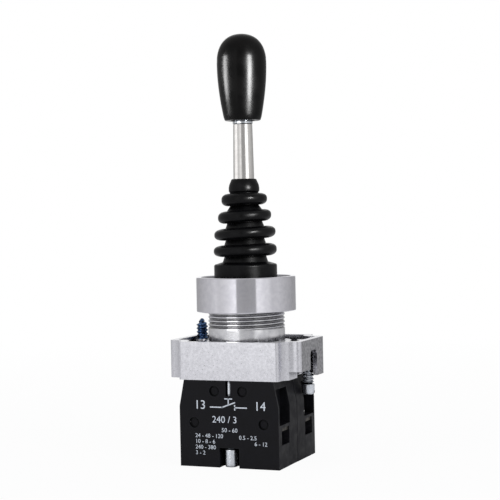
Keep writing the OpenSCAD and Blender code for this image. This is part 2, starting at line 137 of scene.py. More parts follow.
def linear(hex_colour: str) -> Colour:
    """Turn an sRGB hex value to the linear colour that a shader takes.

    Args:
        hex_colour: a value such as "#1b1c1e".

    Returns:
        The linear red, green, blue and an alpha of one.
    """
    parts = [int(hex_colour[i:i + 2], 16) / 255 for i in (1, 3, 5)]
    red, green, blue = [c / 12.92 if c <= 0.04045 else ((c + 0.055) / 1.055) ** 2.4 for c in parts]
    return red, green, blue, 1.0


def add_node(tree: Tree, kind: str, settings: Optional[dict] = None) -> ShaderNode:
    """Add a shader node with its settings and links.

    Args:
        tree: the node tree that takes the node.
        kind: the node's type name after "ShaderNode".
        settings: values by property name, and values or source sockets by input name or number.

    Returns:
        The new node.
    """
    made = tree.nodes.new(f"ShaderNode{kind}")
    settings = settings or {}
    properties = [key for key in settings if isinstance(key, str) and hasattr(made, key)]
    for key in properties:
        setattr(made, key, settings[key])
    for key, value in settings.items():
        if isinstance(value, Socket):
            tree.links.new(value, made.inputs[key])
        elif key not in properties:
            made.inputs[key].default_value = value
    return made


def overlay(tree: Tree, colour: Socket, over: str, span: Point, share: float, search: dict) -> Socket:
    """Lay a second colour over the first by how open or solid a search finds each point's surroundings.

    Args:
        tree: the material's node tree.
        colour: the socket that gives the colour below.
        over: the colour laid over it, as sRGB hex.
        span: what the search gives where the cover begins and where it is full.
        share: how much is covered there.
        search: the settings of the search.

    Returns:
        The socket that gives both colours.
    """
    found = add_node(tree, "AmbientOcclusion", {"samples": SEARCH_RAYS, **search})
    amount = add_node(
        tree, "MapRange", {"Value": found.outputs["AO"], "From Min": span[0], "From Max": span[1], "To Max": share}
    )
    shares = {"data_type": "RGBA", 0: amount.outputs["Result"], 6: colour, 7: linear(over)}
    return add_node(tree, "Mix", shares).outputs[2]


@dataclass(frozen=True)
class Finish:
    """One surface finish: a Principled shader with mottling, fine relief, painted shade in hollows and a painted
    highlight along edges.

    Attributes:
        name: what a maker calls it.
        colour: its main colour as sRGB hex.
        second: the colour of its mottling.
        gloss: lowest and highest roughness.
        mottle_mm: size of the patches of colour and gloss.
        grain_mm: size of the relief's grain.
        relief_mm: height of the relief.
        metallic: 1 for bare or plated metal.
        ior: index of refraction, left alone on metal.
        drawn: how far the grain is squeezed along X, Y and Z.
        edge: the colour of a painted highlight along convex edges, or none.
        edge_mm: how far the painted highlight reaches in from an edge.
        cavity: colour of the painted shade in hollows, or none.
        cavity_mm: how wide a hollow counts as one for the painted shade.
        cavity_full: the open share of the sky at which the painted shade of a hollow is full.
        cavity_near: whether the walls of a neighbour make a hollow too.
    """

    name: str
    colour: str
    second: str
    gloss: Point
    mottle_mm: float
    grain_mm: float
    relief_mm: float
    metallic: float = 0.0
    ior: float = 1.5
    drawn: tuple[float, float, float] = (1.0, 1.0, 1.0)
    edge: Optional[str] = None
    edge_mm: float = 0.3
    cavity: Optional[str] = None
    cavity_mm: float = 1.0
    cavity_full: float = 0.45
    cavity_near: bool = False

    def material(self) -> bpy.types.Material:
        """Make the finish's material once and hand back the same one after that.

        Returns:
            The material.
        """
        made = bpy.data.materials.get(self.name)
        if made:
            return made
        made = bpy.data.materials.new(self.name)
        made.use_nodes = True
        tree = made.node_tree
        shader = tree.nodes["Principled BSDF"]
        shader.inputs["Metallic"].default_value = self.metallic
        if not self.metallic:
            shader.inputs["IOR"].default_value = self.ior
        place = add_node(tree, "TexCoord").outputs["Object"]
        squeezed = add_node(tree, "Mapping", {"Vector": place, "Scale": self.drawn}).outputs["Vector"]
        mottle = add_node(tree, "TexNoise", {"Vector": place, "Scale": 1 / (self.mottle_mm * MM), "Detail": 3.0})
        grain = add_node(tree, "TexNoise", {"Vector": squeezed, "Scale": 1 / (self.grain_mm * MM), "Detail": 2.0})
        low, high = PATCH_SPAN
        patches = add_node(tree, "MapRange", {"Value": mottle.outputs["Fac"], "From Min": low, "From Max": high})
        share = patches.outputs["Result"]
        rough = add_node(tree, "MapRange", {"Value": share, "To Min": self.gloss[0], "To Max": self.gloss[1]})
        relief = {"Height": grain.outputs["Fac"], "Strength": 1.0, "Distance": self.relief_mm * MM}
        bump = add_node(tree, "Bump", relief)
        shares = {"data_type": "RGBA", 0: share, 6: linear(self.colour), 7: linear(self.second)}
        colour = add_node(tree, "Mix", shares).outputs[2]
        # Painted shade: hollows darken by how little of the sky each point sees
        if self.cavity:
            search = {"only_local": not self.cavity_near, "Distance": self.cavity_mm * MM}
            colour = overlay(tree, colour, self.cavity, (OPEN_SKY, self.cavity_full), 1.0, search)
        # Painted highlight: the edge colour is laid along convex edges
        if self.edge:
            search = {"inside": True, "only_local": True, "Distance": self.edge_mm * MM}
            colour = overlay(tree, colour, self.edge, WEAR_SPAN, WEAR_SHARE, search)
        tree.links.new(colour, shader.inputs["Base Color"])
        tree.links.new(rough.outputs["Result"], shader.inputs["Roughness"])
        tree.links.new(bump.outputs["Normal"], shader.inputs["Normal"])
        return made

    def coat(self, piece: Piece) -> None:
        """Make this the only finish that a piece wears, and report the piece.

        Args:
            piece: the finished mesh.
        """
        piece.data.materials.clear()
        piece.data.materials.append(self.material())
        LOG.info("%s: %d faces in %s", piece.name, len(piece.data.polygons), self.name)


# A grain too fine to show at the photograph's size, such as grinding rings, spark erosion, drawing lines and the
# sand of a casting, is drawn as coarse as it needs to show

# Phenolic resin, compression moulded: a deep black with a polished, very slightly rippled skin
GRIP_RESIN = Finish(
    "phenolic_resin_moulded", "#040404", "#070606", ior=1.22, gloss=(0.22, 0.3), mottle_mm=5, grain_mm=2.2,
    relief_mm=0.007,
)
# EPDM rubber, moulded: soft black with a thin bloom in its folds and a faint sheen
BOOT_RUBBER = Finish(
    "epdm_rubber_moulded", "#040405", "#09090b", ior=1.25, gloss=(0.26, 0.38), mottle_mm=2.5, grain_mm=0.8,
    relief_mm=0.008,
)
# Chromium plate on turned brass: a clean mirror with the faint ripple of the turned metal below it, and painted
# shade in its hollows, such as the recess inside its rim
CHROME_PLATE = Finish(
    "chromium_plate_on_turned_brass", "#f0eff6", "#e6e5ed", metallic=1, gloss=(0.06, 0.12), mottle_mm=1.5,
    grain_mm=0.5, relief_mm=0.0006, cavity="#242427", cavity_mm=2.4, cavity_full=0.62,
)
# Bright steel bar, ground and nickel plated: pale and glossy with fine rings from grinding
ROD_STEEL = Finish(
    "nickel_plated_ground_steel", "#f0eeec", "#e6e3e1", metallic=1, gloss=(0.14, 0.22), mottle_mm=1.6, grain_mm=0.25,
    relief_mm=0.001, drawn=(0.1, 0.1, 1),
)
# Zinc die casting, as cast and tumbled: pale grey, with a sandy skin that scatters the light, and painted shade
# in its wells and corners
CAST_ZINC = Finish(
    "zinc_die_casting_tumbled", "#e4e4e9", "#dadadf", metallic=1, gloss=(0.2, 0.28), mottle_mm=0.7, grain_mm=0.55,
    relief_mm=0.007, cavity="#46474b", cavity_mm=2.6,
)
# The same casting at the end faces of its lugs: duller and coarse, with its colour darkened as painted shade,
# and painted shade in its hollows too
SHEARED_ZINC = Finish(
    "zinc_die_casting_sheared", "#bcbcbe", "#98989b", metallic=1, gloss=(0.4, 0.55), mottle_mm=0.8, grain_mm=0.4,
    relief_mm=0.035, cavity="#3c3d40", cavity_mm=2.0,
)
# Zinc die casting, thread cut and nickel plated: brighter than the collar, with smeared plating and painted
# shade in the roots of its thread
NECK_NICKEL = Finish(
    "nickel_plated_zinc_casting", "#f3f3f5", "#dbdbdf", metallic=1, gloss=(0.12, 0.22), mottle_mm=2.6, grain_mm=0.6,
    relief_mm=0.003, cavity="#1c1c1a", cavity_mm=1.3, cavity_full=0.68,
)
# Carbon steel screw, tempered blue: a dark blue oxide, with painted shade in the roots of its thread that
# leaves the crests lighter
BLUED_STEEL = Finish(
    "blued_carbon_steel", "#5c7eac", "#232e45", metallic=1, gloss=(0.2, 0.32), mottle_mm=1.6, grain_mm=0.3,
    relief_mm=0.003, cavity="#07080c", cavity_mm=0.8, cavity_full=0.6,
)
# Steel screw, zinc plated with a clear blue passivation: bright, cool and a little milky, with painted shade in
# its hollows and beside its neighbours
ZINC_PLATED = Finish(
    "zinc_plated_steel_clear", "#f3f6fa", "#dde3eb", metallic=1, gloss=(0.24, 0.36), mottle_mm=0.9, grain_mm=0.5,
    relief_mm=0.0015, cavity="#20242a", cavity_full=0.6, cavity_near=True,
)
# Steel pressing, phosphated and oiled: a dark crystalline grey that hardly shows inside its opening
PHOSPHATED_STEEL = Finish(
    "phosphated_steel_pressing", "#4b4d50", "#3b3d40", metallic=1, gloss=(0.38, 0.52), mottle_mm=1.0, grain_mm=0.25,
    relief_mm=0.006,
)
# Glass-filled polyamide, injection moulded in a spark-eroded tool: satin black, with a painted highlight along
# its edges and painted shade in its hollows
BLOCK_POLYAMIDE = Finish(
    "polyamide_glass_filled_black", "#0a0a0d", "#0e0e12", ior=1.27, gloss=(0.42, 0.56), mottle_mm=3, grain_mm=0.3,
    relief_mm=0.008, edge="#1b1c20", cavity="#010102", cavity_mm=1.2,
)
# The same polyamide from another mould, a shade paler, with the same painted highlight along its edges
BASE_POLYAMIDE = Finish(
    "polyamide_glass_filled_graphite", "#0b0b0e", "#101014", ior=1.25, gloss=(0.46, 0.6), mottle_mm=3, grain_mm=0.3,
    relief_mm=0.008, edge="#1b1c20",
)
# Acetal, injection moulded: natural ivory with a waxy sheen, for parts that slide
SLIDING_ACETAL = Finish(
    "acetal_natural", "#d8d0ba", "#cdc4ab", ior=1.48, gloss=(0.3, 0.38), mottle_mm=2, grain_mm=0.5, relief_mm=0.004,
)
# Polyamide, injection moulded: dark grey inner parts of the head
INNER_POLYAMIDE = Finish(
    "polyamide_dark_grey", "#3c3e40", "#343638", gloss=(0.4, 0.5), mottle_mm=3, grain_mm=0.3, relief_mm=0.006,
)
# Brass strip, stamped: warm yellow with fine rolling marks
STAMPED_BRASS = Finish(
    "brass_stamped", "#c8a050", "#b28a3e", metallic=1, gloss=(0.24, 0.36), mottle_mm=1.2, grain_mm=0.2,
    relief_mm=0.003, drawn=(0.15, 1, 1),
)
# Brass strip, stamped: dimmed to a dark brown as painted shade, so that it hardly shows inside the block
PICKLED_BRASS = Finish(
    "brass_strip_pickled", "#4c4840", "#3a3731", metallic=1, gloss=(0.36, 0.5), mottle_mm=1.2, grain_mm=0.3,
    relief_mm=0.003,
)
# Phosphor bronze strip, stamped: redder and springy, for the moving bridge
STAMPED_BRONZE = Finish(
    "phosphor_bronze_stamped", "#b97f45", "#a26b36", metallic=1, gloss=(0.24, 0.36), mottle_mm=1.2, grain_mm=0.2,
    relief_mm=0.003, drawn=(0.15, 1, 1),
)
# Music wire, coiled: dark bright steel with drawing lines
SPRING_WIRE = Finish(
    "music_wire_coiled", "#9a9da1", "#85888c", metallic=1, gloss=(0.2, 0.3), mottle_mm=0.6, grain_mm=0.12,
    relief_mm=0.002,
)
# Sintered steel, tumbled: matt grey with open pores, for the rocker
SINTERED_STEEL = Finish(
    "sintered_steel", "#8d9093", "#7b7e81", metallic=1, gloss=(0.42, 0.55), mottle_mm=0.8, grain_mm=0.25,
    relief_mm=0.015,
)
# Silk-screen ink, baked: a flat pale grey film with soft edges
PRINT_INK = Finish(
    "screen_ink_pale_grey", "#c4cad2", "#aab1bb", ior=1.45, gloss=(0.5, 0.62), mottle_mm=0.5, grain_mm=0.15,
    relief_mm=0.004,
)

# The finish of every node that shows its CAD shape
NODE_FINISH = {
    "grip_insert": STAMPED_BRASS, "grip_washer": ZINC_PLATED, "lock_pin": SPRING_WIRE, "rocker_hub": SINTERED_STEEL,
    "pivot_pin": ROD_STEEL, "pivot_carrier": INNER_POLYAMIDE, "guide_plate": INNER_POLYAMIDE,
    "push_rod": SLIDING_ACETAL, "retaining_ring": SPRING_WIRE, "contact_plunger": SLIDING_ACETAL,
    "contact_bridge": STAMPED_BRONZE, "bridge_spring": SPRING_WIRE, "fixed_contacts": PICKLED_BRASS,
    "terminal_screws": ZINC_PLATED, "clamp_plates": PHOSPHATED_STEEL,
}


# Modelling tools


def kind_of(node: str) -> str:
    """A node's name without its side, which is also its slot in the record."""
    return node.removeprefix("front_").removeprefix("back_")


def deselect() -> None:
    """Deselect everything, since the frame's nodes come in selected."""
    if bpy.context.object and bpy.context.object.mode != "OBJECT":
        bpy.ops.object.mode_set(mode="OBJECT")
    for piece in bpy.context.view_layer.objects:
        piece.select_set(False)


def pick(piece: Piece) -> None:
    """Select one object alone and make it the active one.

    Args:
        piece: the object.
    """
    deselect()
    piece.select_set(True)
    bpy.context.view_layer.objects.active = piece


def settle(piece: Piece, outwards: bool = True) -> Piece:
    """Leave edit mode with doubles merged, normals outwards and the place in the mesh.

    Args:
        piece: the object that has just been shaped.
        outwards: False leaves the normals as they are.

    Returns:
        The same object.
    """
    pick(piece)
    bpy.ops.object.mode_set(mode="EDIT")
    bpy.ops.mesh.select_all(action="SELECT")
    bpy.ops.mesh.remove_doubles(threshold=WELD)
    if outwards:
        bpy.ops.mesh.normals_make_consistent(inside=False)
    bpy.ops.object.mode_set(mode="OBJECT")
    bpy.ops.object.transform_apply(location=True, rotation=True, scale=True)
    return piece


def apply_modifier(piece: Piece, kind: str, **settings) -> None:
    """Add a modifier with its settings and apply it.

    Args:
        piece: the object to change.
        kind: the modifier's type name.
        settings: its properties by name.
    """
    pick(piece)
    modifier = piece.modifiers.new(kind.lower(), kind)
    for key, value in settings.items():
        setattr(modifier, key, value)
    bpy.ops.object.modifier_apply(modifier=modifier.name)


def smooth(piece: Piece, degrees: float = 35) -> None:
    """Shade a piece smooth except across sharp edges, with each point's normal set by its largest face.

    Args:
        piece: the object to shade.
        degrees: the angle from which an edge is sharp.
    """
    pick(piece)
    bpy.ops.object.shade_smooth_by_angle(angle=math.radians(degrees))
    apply_modifier(piece, "WEIGHTED_NORMAL", mode="FACE_AREA", weight=100, keep_sharp=True)


def turned(name: str, outline: Sequence[Point], steps: int = 96, centre: Point = (0, 0)) -> Piece:
    """Turn a piece round a vertical axis, as on a lathe.

    Args:
        name: the piece's name.
        outline: its points of radius and height in millimetres; a hollow piece's ends where it starts.
        steps: how many facets go round it.
        centre: where the axis stands, in millimetres.

    Returns:
        The closed piece.
    """
    deselect()
    places = [Vector((centre[0] + radius, centre[1], height)) * MM for radius, height in outline]
    bpy.ops.mesh.primitive_plane_add(size=MM, location=places[0])
    piece = bpy.context.object
    piece.name = piece.data.name = name
    bpy.ops.object.mode_set(mode="EDIT")
    bpy.ops.mesh.merge(type="CENTER")
    for last, place in zip(places, places[1:]):
        bpy.ops.mesh.extrude_vertices_move(TRANSFORM_OT_translate={"value": place - last})
    bpy.ops.mesh.select_all(action="SELECT")
    axis = Vector((centre[0], centre[1], 0)) * MM
    bpy.ops.mesh.spin(steps=steps, angle=math.tau, center=axis, axis=(0, 0, 1))
    return settle(piece)


def block(name: str, low: Sequence[float], high: Sequence[float]) -> Piece:
    """Add a box between two corners.

    Args:
        name: the box's name.
        low: its lowest corner in millimetres.
        high: its highest corner in millimetres.

    Returns:
        The box.
    """
    deselect()
    low, high = Vector(low) * MM, Vector(high) * MM
    bpy.ops.mesh.primitive_cube_add(size=1, location=(low + high) / 2, scale=high - low)
    piece = bpy.context.object
    piece.name = piece.data.name = name
    return settle(piece)


def carve(piece: Piece, tool: Piece) -> None:
    """Cut a piece with a tool body and clear the tool away."""
    apply_modifier(piece, "BOOLEAN", object=tool, operation="DIFFERENCE", solver="EXACT")
    bpy.data.objects.remove(tool)


def reshape(piece: Piece, rule: Callable[[Vector], Vector]) -> None:
    """Move every point of a piece by a rule.

    Args:
        piece: the object to change.
        rule: takes a point in millimetres and gives its new place.
    """
    for vertex in piece.data.vertices:
        vertex.co = rule(vertex.co / MM) * MM
    piece.data.update()


def arc(centre: Point, radius: float, start: float, end: float, steps: int) -> list[Point]:
    """Points along an arc in an outline, between two angles in degrees from the outward direction."""
    angles = [math.radians(start + (end - start) * i / steps) for i in range(steps + 1)]
    return [(centre[0] + radius * math.cos(a), centre[1] + radius * math.sin(a)) for a in angles]


@dataclass
class Joystick:
    """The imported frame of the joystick, and how its pieces are made, dressed and placed.

    Attributes:
    """

    frame: dict

    def body_of(self, node: str) -> Body:
        """The body that a node belongs to."""
        groups = self.frame["record"]["behaviour"]["bodies"]
        return Body(next(body for body, members in groups.items() if node in members))

    def dress(self, piece: Piece, finish: Finish, slot: str) -> None:
        """Give a piece its finish."""
        finish.coat(piece)

    def stand_in(self, piece: Piece, node: str, finish: Finish) -> None:
        """Let a piece stand for a node, ride on that node's body and wear a finish.

        Args:
            piece: the finished mesh.
            node: the node that it replaces.
            finish: the finish that it wears.
        """
        self.dress(piece, finish, kind_of(node))
        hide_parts(node)
        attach(piece, self.body_of(node).value)

    def merged_copy(self, name: str, node: str) -> Piece:
        """Copy a node's shape with its loose triangles merged.

        Args:
            name: the new piece's name.
            node: the node to copy.

        Returns:
            The new piece.
        """
        deselect()
        piece = bpy.data.objects.new(name, self.frame["nodes"][node].data.copy())
        bpy.context.scene.collection.objects.link(piece)
        return settle(piece, outwards=False)

    def rounded_copy(self, name: str, node: str, finish: Finish, radius: float, segments: int = 3) -> Piece:
        """Let a node's copy with rounded edges, as a mould or a tumbler leaves them, stand for the node.

        Args:
            name: the new piece's name.
            node: the node to copy.
            finish: the finish that the copy wears.
            radius: width of the rounding in millimetres.
            segments: how many spans the rounding has.

        Returns:
            The new piece.
        """
        piece = self.merged_copy(name, node)
        bpy.ops.object.mode_set(mode="EDIT")
        bpy.ops.mesh.select_all(action="SELECT")
        bpy.ops.mesh.dissolve_limited(angle_limit=math.radians(FLAT_ANGLE))
        bpy.ops.object.mode_set(mode="OBJECT")
        apply_modifier(
            piece, "BEVEL", width=radius * MM, segments=segments, limit_method="ANGLE",
            angle_limit=math.radians(ROUNDED_ANGLE), use_clamp_overlap=True,
        )
        smooth(piece, SHARP_ANGLE)
        self.stand_in(piece, node, finish)
        return piece


@dataclass(frozen=True)
class Thread:
    """A helical thread that is cut into a turned piece.

    Attributes:
        low: where it starts.
        high: where it ends.
        pitch: distance from crest to crest.
        depth: how deep its root lies below its crest.
        runout: length over which it fades at each end.
        crest: how broad its crests are beside its roots, 1 for equal ones.
    """

    low: float
    high: float
    pitch: float
    depth: float
    runout: float = 0.4
    crest: float = 0.8

    def cut(self, piece: Piece, inside: float, centre: Point = (0, 0)) -> None:
        """Sink the thread into every point farther out than a radius.

        Args:
            piece: the turned piece.
            inside: points within this radius stay.
            centre: the piece's axis.
        """

        def rule(point: Vector) -> Vector:
            """Find a point's place on the thread.

            Args:
                point: its place on the plain piece.

            Returns:
                Its new place.
            """
            x, y = point.x - centre[0], point.y - centre[1]
            radius = math.hypot(x, y)
            if radius < inside or not self.low < point.z < self.high:
                return point
            fade = min(1, (point.z - self.low) / self.runout, (self.high - point.z) / self.runout)
            phase = (point.z / self.pitch - math.atan2(y, x) / math.tau) % 1
            hollow = (0.5 - 0.5 * math.cos(math.tau * phase)) ** self.crest
            share = (radius - self.depth * fade * hollow) / radius
            return Vector((centre[0] + x * share, centre[1] + y * share, point.z))

        reshape(piece, rule)


@dataclass
class Grip:
    """The moulded grip: a crowned taper under a full dome."""

    joystick: Joystick
    foot: float = 54.4
    height: float = 24.7
    radius: float = 7.1
    foot_radius: float = 5.2
    dome: float = 8.398
    edge: float = 0.35
    bore: float = 3.5
    bore_top: float = 13.5
    crown_power: float = 0.9
    dome_power: float = 0.87
    # The mould's seam runs a little above the start of the dome
    seam_rise: float = 0.5
    seam_half: float = 0.35
    seam_depth: float = 0.03
    spans: int = 32

    def outline(self) -> list[Point]:
        """The outline from the bore's top down, round the foot and up to the crown.

        Returns:
            Its points of radius and height.
        """
        straight = self.height - self.dome
        points = [(0, self.bore_top), (self.bore, self.bore_top), (self.bore, 0)]
        points += arc((self.foot_radius - self.edge, self.edge), self.edge, -90, -10, 4)
        for i in range(2, self.spans + 1):
            share = i / self.spans
            swell = (self.radius - self.foot_radius) * math.sin(math.pi / 2 * share) ** self.crown_power
            points.append((self.foot_radius + swell, straight * share))
        for degrees in range(4, 90, 4):
            across, up = math.cos(math.radians(degrees)), math.sin(math.radians(degrees))
            points.append((self.radius * across ** self.dome_power, straight + self.dome * up ** self.dome_power))
        seam = straight + self.seam_rise
        points = [
            (r - self.seam_depth, z) if abs(z - seam) < self.seam_half and r > self.bore else (r, z) for r, z in points
        ]
        return [(r, self.foot + z) for r, z in points + [(0, self.height)]]

    def build(self) -> None:
        """Turn the grip and dress it."""
        piece = turned("moulded_grip", self.outline(), steps=128)
        smooth(piece, degrees=40)
        self.joystick.stand_in(piece, "grip", GRIP_RESIN)


@dataclass
class Rod:
    """The lever rod, with a ground taper and a chamfered shoulder under the grip."""

    joystick: Joystick
    low: float = -3.5
    boss: float = 2.6
    boot_top: float = 37.7
    shoulder: float = 53.5
    stud_top: float = 65.9
    spigot_radius: float = 2.5
    radius: float = 3.0
    top_radius: float = 2.75
    stud_radius: float = 2.0
    chamfer: float = 0.3

    def build(self) -> None:
        """Turn the rod, round its shoulder and dress it."""
        shoulder = arc((self.top_radius - self.chamfer, self.shoulder - self.chamfer), self.chamfer, 0, 90, 4)
        outline = [
            (0, self.low), (self.spigot_radius, self.low), (self.spigot_radius, self.boss),
            (self.radius, self.boss), (self.radius, self.boot_top), *shoulder,
            (self.stud_radius, self.shoulder), (self.stud_radius, self.stud_top), (0, self.stud_top),
        ]
        piece = turned("ground_lever_rod", outline)
        smooth(piece)
        self.joystick.stand_in(piece, "lever_rod", ROD_STEEL)


@dataclass
class Boot:
    """The rubber boot: a foot under the bezel's lip, four folds and a cuff on the rod."""

    joystick: Joystick
    flange: Point = (10.9, 6.2)
    lip: float = 7.6
    foot_radius: float = 9.03
    foot_top: float = 12.8
    foot_round: float = 0.6
    foot_neck: Point = (6.5, 14.0)
    first_fold: float = 17.3
    pitch: float = 4.85
    rims: tuple[float, ...] = (9.05, 8.8, 7.65, 6.55)
    roots: tuple[float, ...] = (6.0, 5.55, 5.05, 4.1)
    half: float = 1.75
    rim_power: float = 0.85
    side_power: float = 0.78
    wall: float = 1.1
    foot_wall: float = 2.0
    roof_wall: float = 0.9
    cuff: float = 4.4
    cuff_round: float = 0.3
    # Heights above the last fold where the boot narrows and where the cuff starts
    narrow: float = 0.2
    cuff_gap: float = 0.4
    # The cuff's upper edge, measured from the top
    cuff_lip: tuple[Point, ...] = ((4.4, -2.6), (4.25, -1.7), (4.0, -1.1), (3.6, -0.15), (3.4, 0.0))
    top: float = 37.7
    rod: float = 3.05
    # How far the folds tip and towards where, in degrees
    lean: float = 3.2
    lean_bearing: float = 22.0
    # Length of the cuff that stays upright as the folds tip, and a height on the boot
    upright: float = 2.7
    bend_top: float = 20.0

    def fold(self, index: int, inset: float, span: int = 24) -> list[Point]:
        """One fold as a rounded lobe from its lower root to its upper root.

        Args:
            index: the fold's number from the bottom.
            inset: how far its surface lies inside the outer one.
            span: how many spans the lobe has.

        Returns:
            Its points.
        """
        height = self.first_fold + index * self.pitch
        root = self.roots[index] - inset
        rim = self.rims[index] - inset
        half = self.half - inset
        points = []
        for i in range(span + 1):
            a = math.pi * i / span
            rise = math.copysign(abs(math.cos(a)) ** self.side_power, math.cos(a))
            points.append((root + (rim - root) * math.sin(a) ** self.rim_power, height - half * rise))
        return points

    def outline(self) -> list[Point]:
        """The closed outline, up the outside and down the inside.

        Returns:
            Its points of radius and height.
        """
        folds, shoulder = range(len(self.rims)), (self.foot_radius - self.foot_round, self.foot_top)
        outside = [self.flange, (self.flange[0], self.lip), (self.foot_radius, self.lip)]
        outside += [(self.foot_radius, self.foot_top), *arc(shoulder, self.foot_round, 0, 70, 4), self.foot_neck]
        outside += [point for i in folds for point in self.fold(i, 0)]
        collar = self.first_fold + folds[-1] * self.pitch + self.half
        edge = (self.cuff - self.cuff_round, collar + self.cuff_round + self.cuff_gap)
        outside += [(self.roots[-1], collar + self.narrow), *arc(edge, self.cuff_round, -60, 0, 3)]
        outside += [(radius, self.top + height) for radius, height in self.cuff_lip]
        outside += [(self.rod, self.top), (self.rod, collar)]
        inside = [point for i in folds for point in self.fold(i, self.wall, 10)]
        within = self.foot_radius - self.foot_wall
        closing = [(within, self.foot_top - self.roof_wall), (within, self.flange[1]), self.flange]
        return outside + inside[::-1] + closing

    def tipped(self, point: Vector) -> Vector:
        """Tip the folds a little to one side, as a rubber boot often sits.

        Args:
            point: a point of the straight boot.

        Returns:
            Its place on the tipped one.
        """
        low, high = self.foot_neck[1], self.top - self.upright
        share = (point.z - low) / (high - low)
        if not 0 < share < 1:
            return point
        bearing = math.radians(self.lean_bearing)
        across = point.x * math.cos(bearing) + point.y * math.sin(bearing)
        rise = across * math.tan(math.radians(self.lean)) * math.sin(math.pi * share)
        return point + Vector((0, 0, rise))

    def build(self) -> None:
        """Turn the boot, tip its folds and dress it in place of its node."""
        piece = turned("moulded_boot", self.outline(), steps=128)
        reshape(piece, self.tipped)
        smooth(piece, degrees=40)
        self.joystick.dress(piece, BOOT_RUBBER, "rubber_boot")
        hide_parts("rubber_boot")
        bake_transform(piece)


@dataclass
class Head:
    """The chromed bezel ring and the threaded neck that passes through the panel."""

    joystick: Joystick
    ring_radius: float = 14.3
    ring_height: float = 9.85
    rim_wall: float = 1.35
    rim_round: float = 0.45
    inner_round: float = 0.25
    foot_round: float = 0.2
    # Inside the rim, measured from its wall and from the floor
    fillet: tuple[Point, ...] = ((0.05, 0.15), (0.2, 0.0))
    lip: float = 7.6
    lip_height: float = 1.05
    lip_radius: float = 9.3
    lip_round: float = 0.2
    neck_radius: float = 11.0
    neck_low: float = -17.8
    neck_top: float = 6.2
    neck_edge: float = 0.2
    cavity: float = 9.4
    # Heights between which the snap ring's groove lies
    groove: Point = (-17.5, -16.6)
    groove_radius: float = 10.5
    thread: Thread = Thread(low=-5.0, high=0.3, pitch=1.1, depth=0.36, crest=1.2)
    # Distance between the rings of points that carry the thread
    ring_step: float = 0.055

    def ring(self) -> None:
        """Turn the bezel ring with rounded edges and a recess inside its rim."""
        outer, height, soft, edge = self.ring_radius, self.ring_height, self.rim_round, self.inner_round
        inner, floor = outer - self.rim_wall, self.lip + self.lip_height
        outline = [
            (self.neck_radius, 0), *arc((outer - self.foot_round, self.foot_round), self.foot_round, -90, 0, 3),
            *arc((outer - soft, height - soft), soft, 0, 90, 6),
            *arc((inner + edge, height - edge), edge, 90, 180, 4),
            *[(inner - across, floor + up) for across, up in self.fillet],
            *arc((self.lip_radius + self.lip_round, floor - self.lip_round), self.lip_round, 90, 180, 3),
            (self.lip_radius, self.lip), (self.neck_radius, self.lip), (self.neck_radius, 0),
        ]
        piece = turned("chromed_bezel_ring", outline, steps=160)
        smooth(piece, degrees=30)
        self.joystick.stand_in(piece, "bezel_ring", CHROME_PLATE)

    def neck(self) -> None:
        """Turn the neck with enough rings to carry a thread, and cut the thread."""
        cut, radius = self.thread, self.neck_radius
        rings = int((cut.high - cut.low) / self.ring_step)
        outline = [
            (self.cavity, self.neck_low), (radius - self.neck_edge, self.neck_low),
            (radius, self.neck_low + self.neck_edge), (radius, self.groove[0]),
            (self.groove_radius, self.groove[0]), (self.groove_radius, self.groove[1]), (radius, self.groove[1]),
            *[(radius, cut.low + (cut.high - cut.low) * i / rings) for i in range(rings + 1)],
            (radius, self.neck_top), (self.cavity, self.neck_top), (self.cavity, self.neck_low),
        ]
        piece = turned("threaded_neck", outline, steps=160)
        cut.cut(piece, (self.groove_radius + radius) / 2)
        smooth(piece, degrees=70)
        self.joystick.stand_in(piece, "neck_housing", NECK_NICKEL)

    def build(self) -> None:
        """Build the ring and the neck."""
        self.ring()
        self.neck()


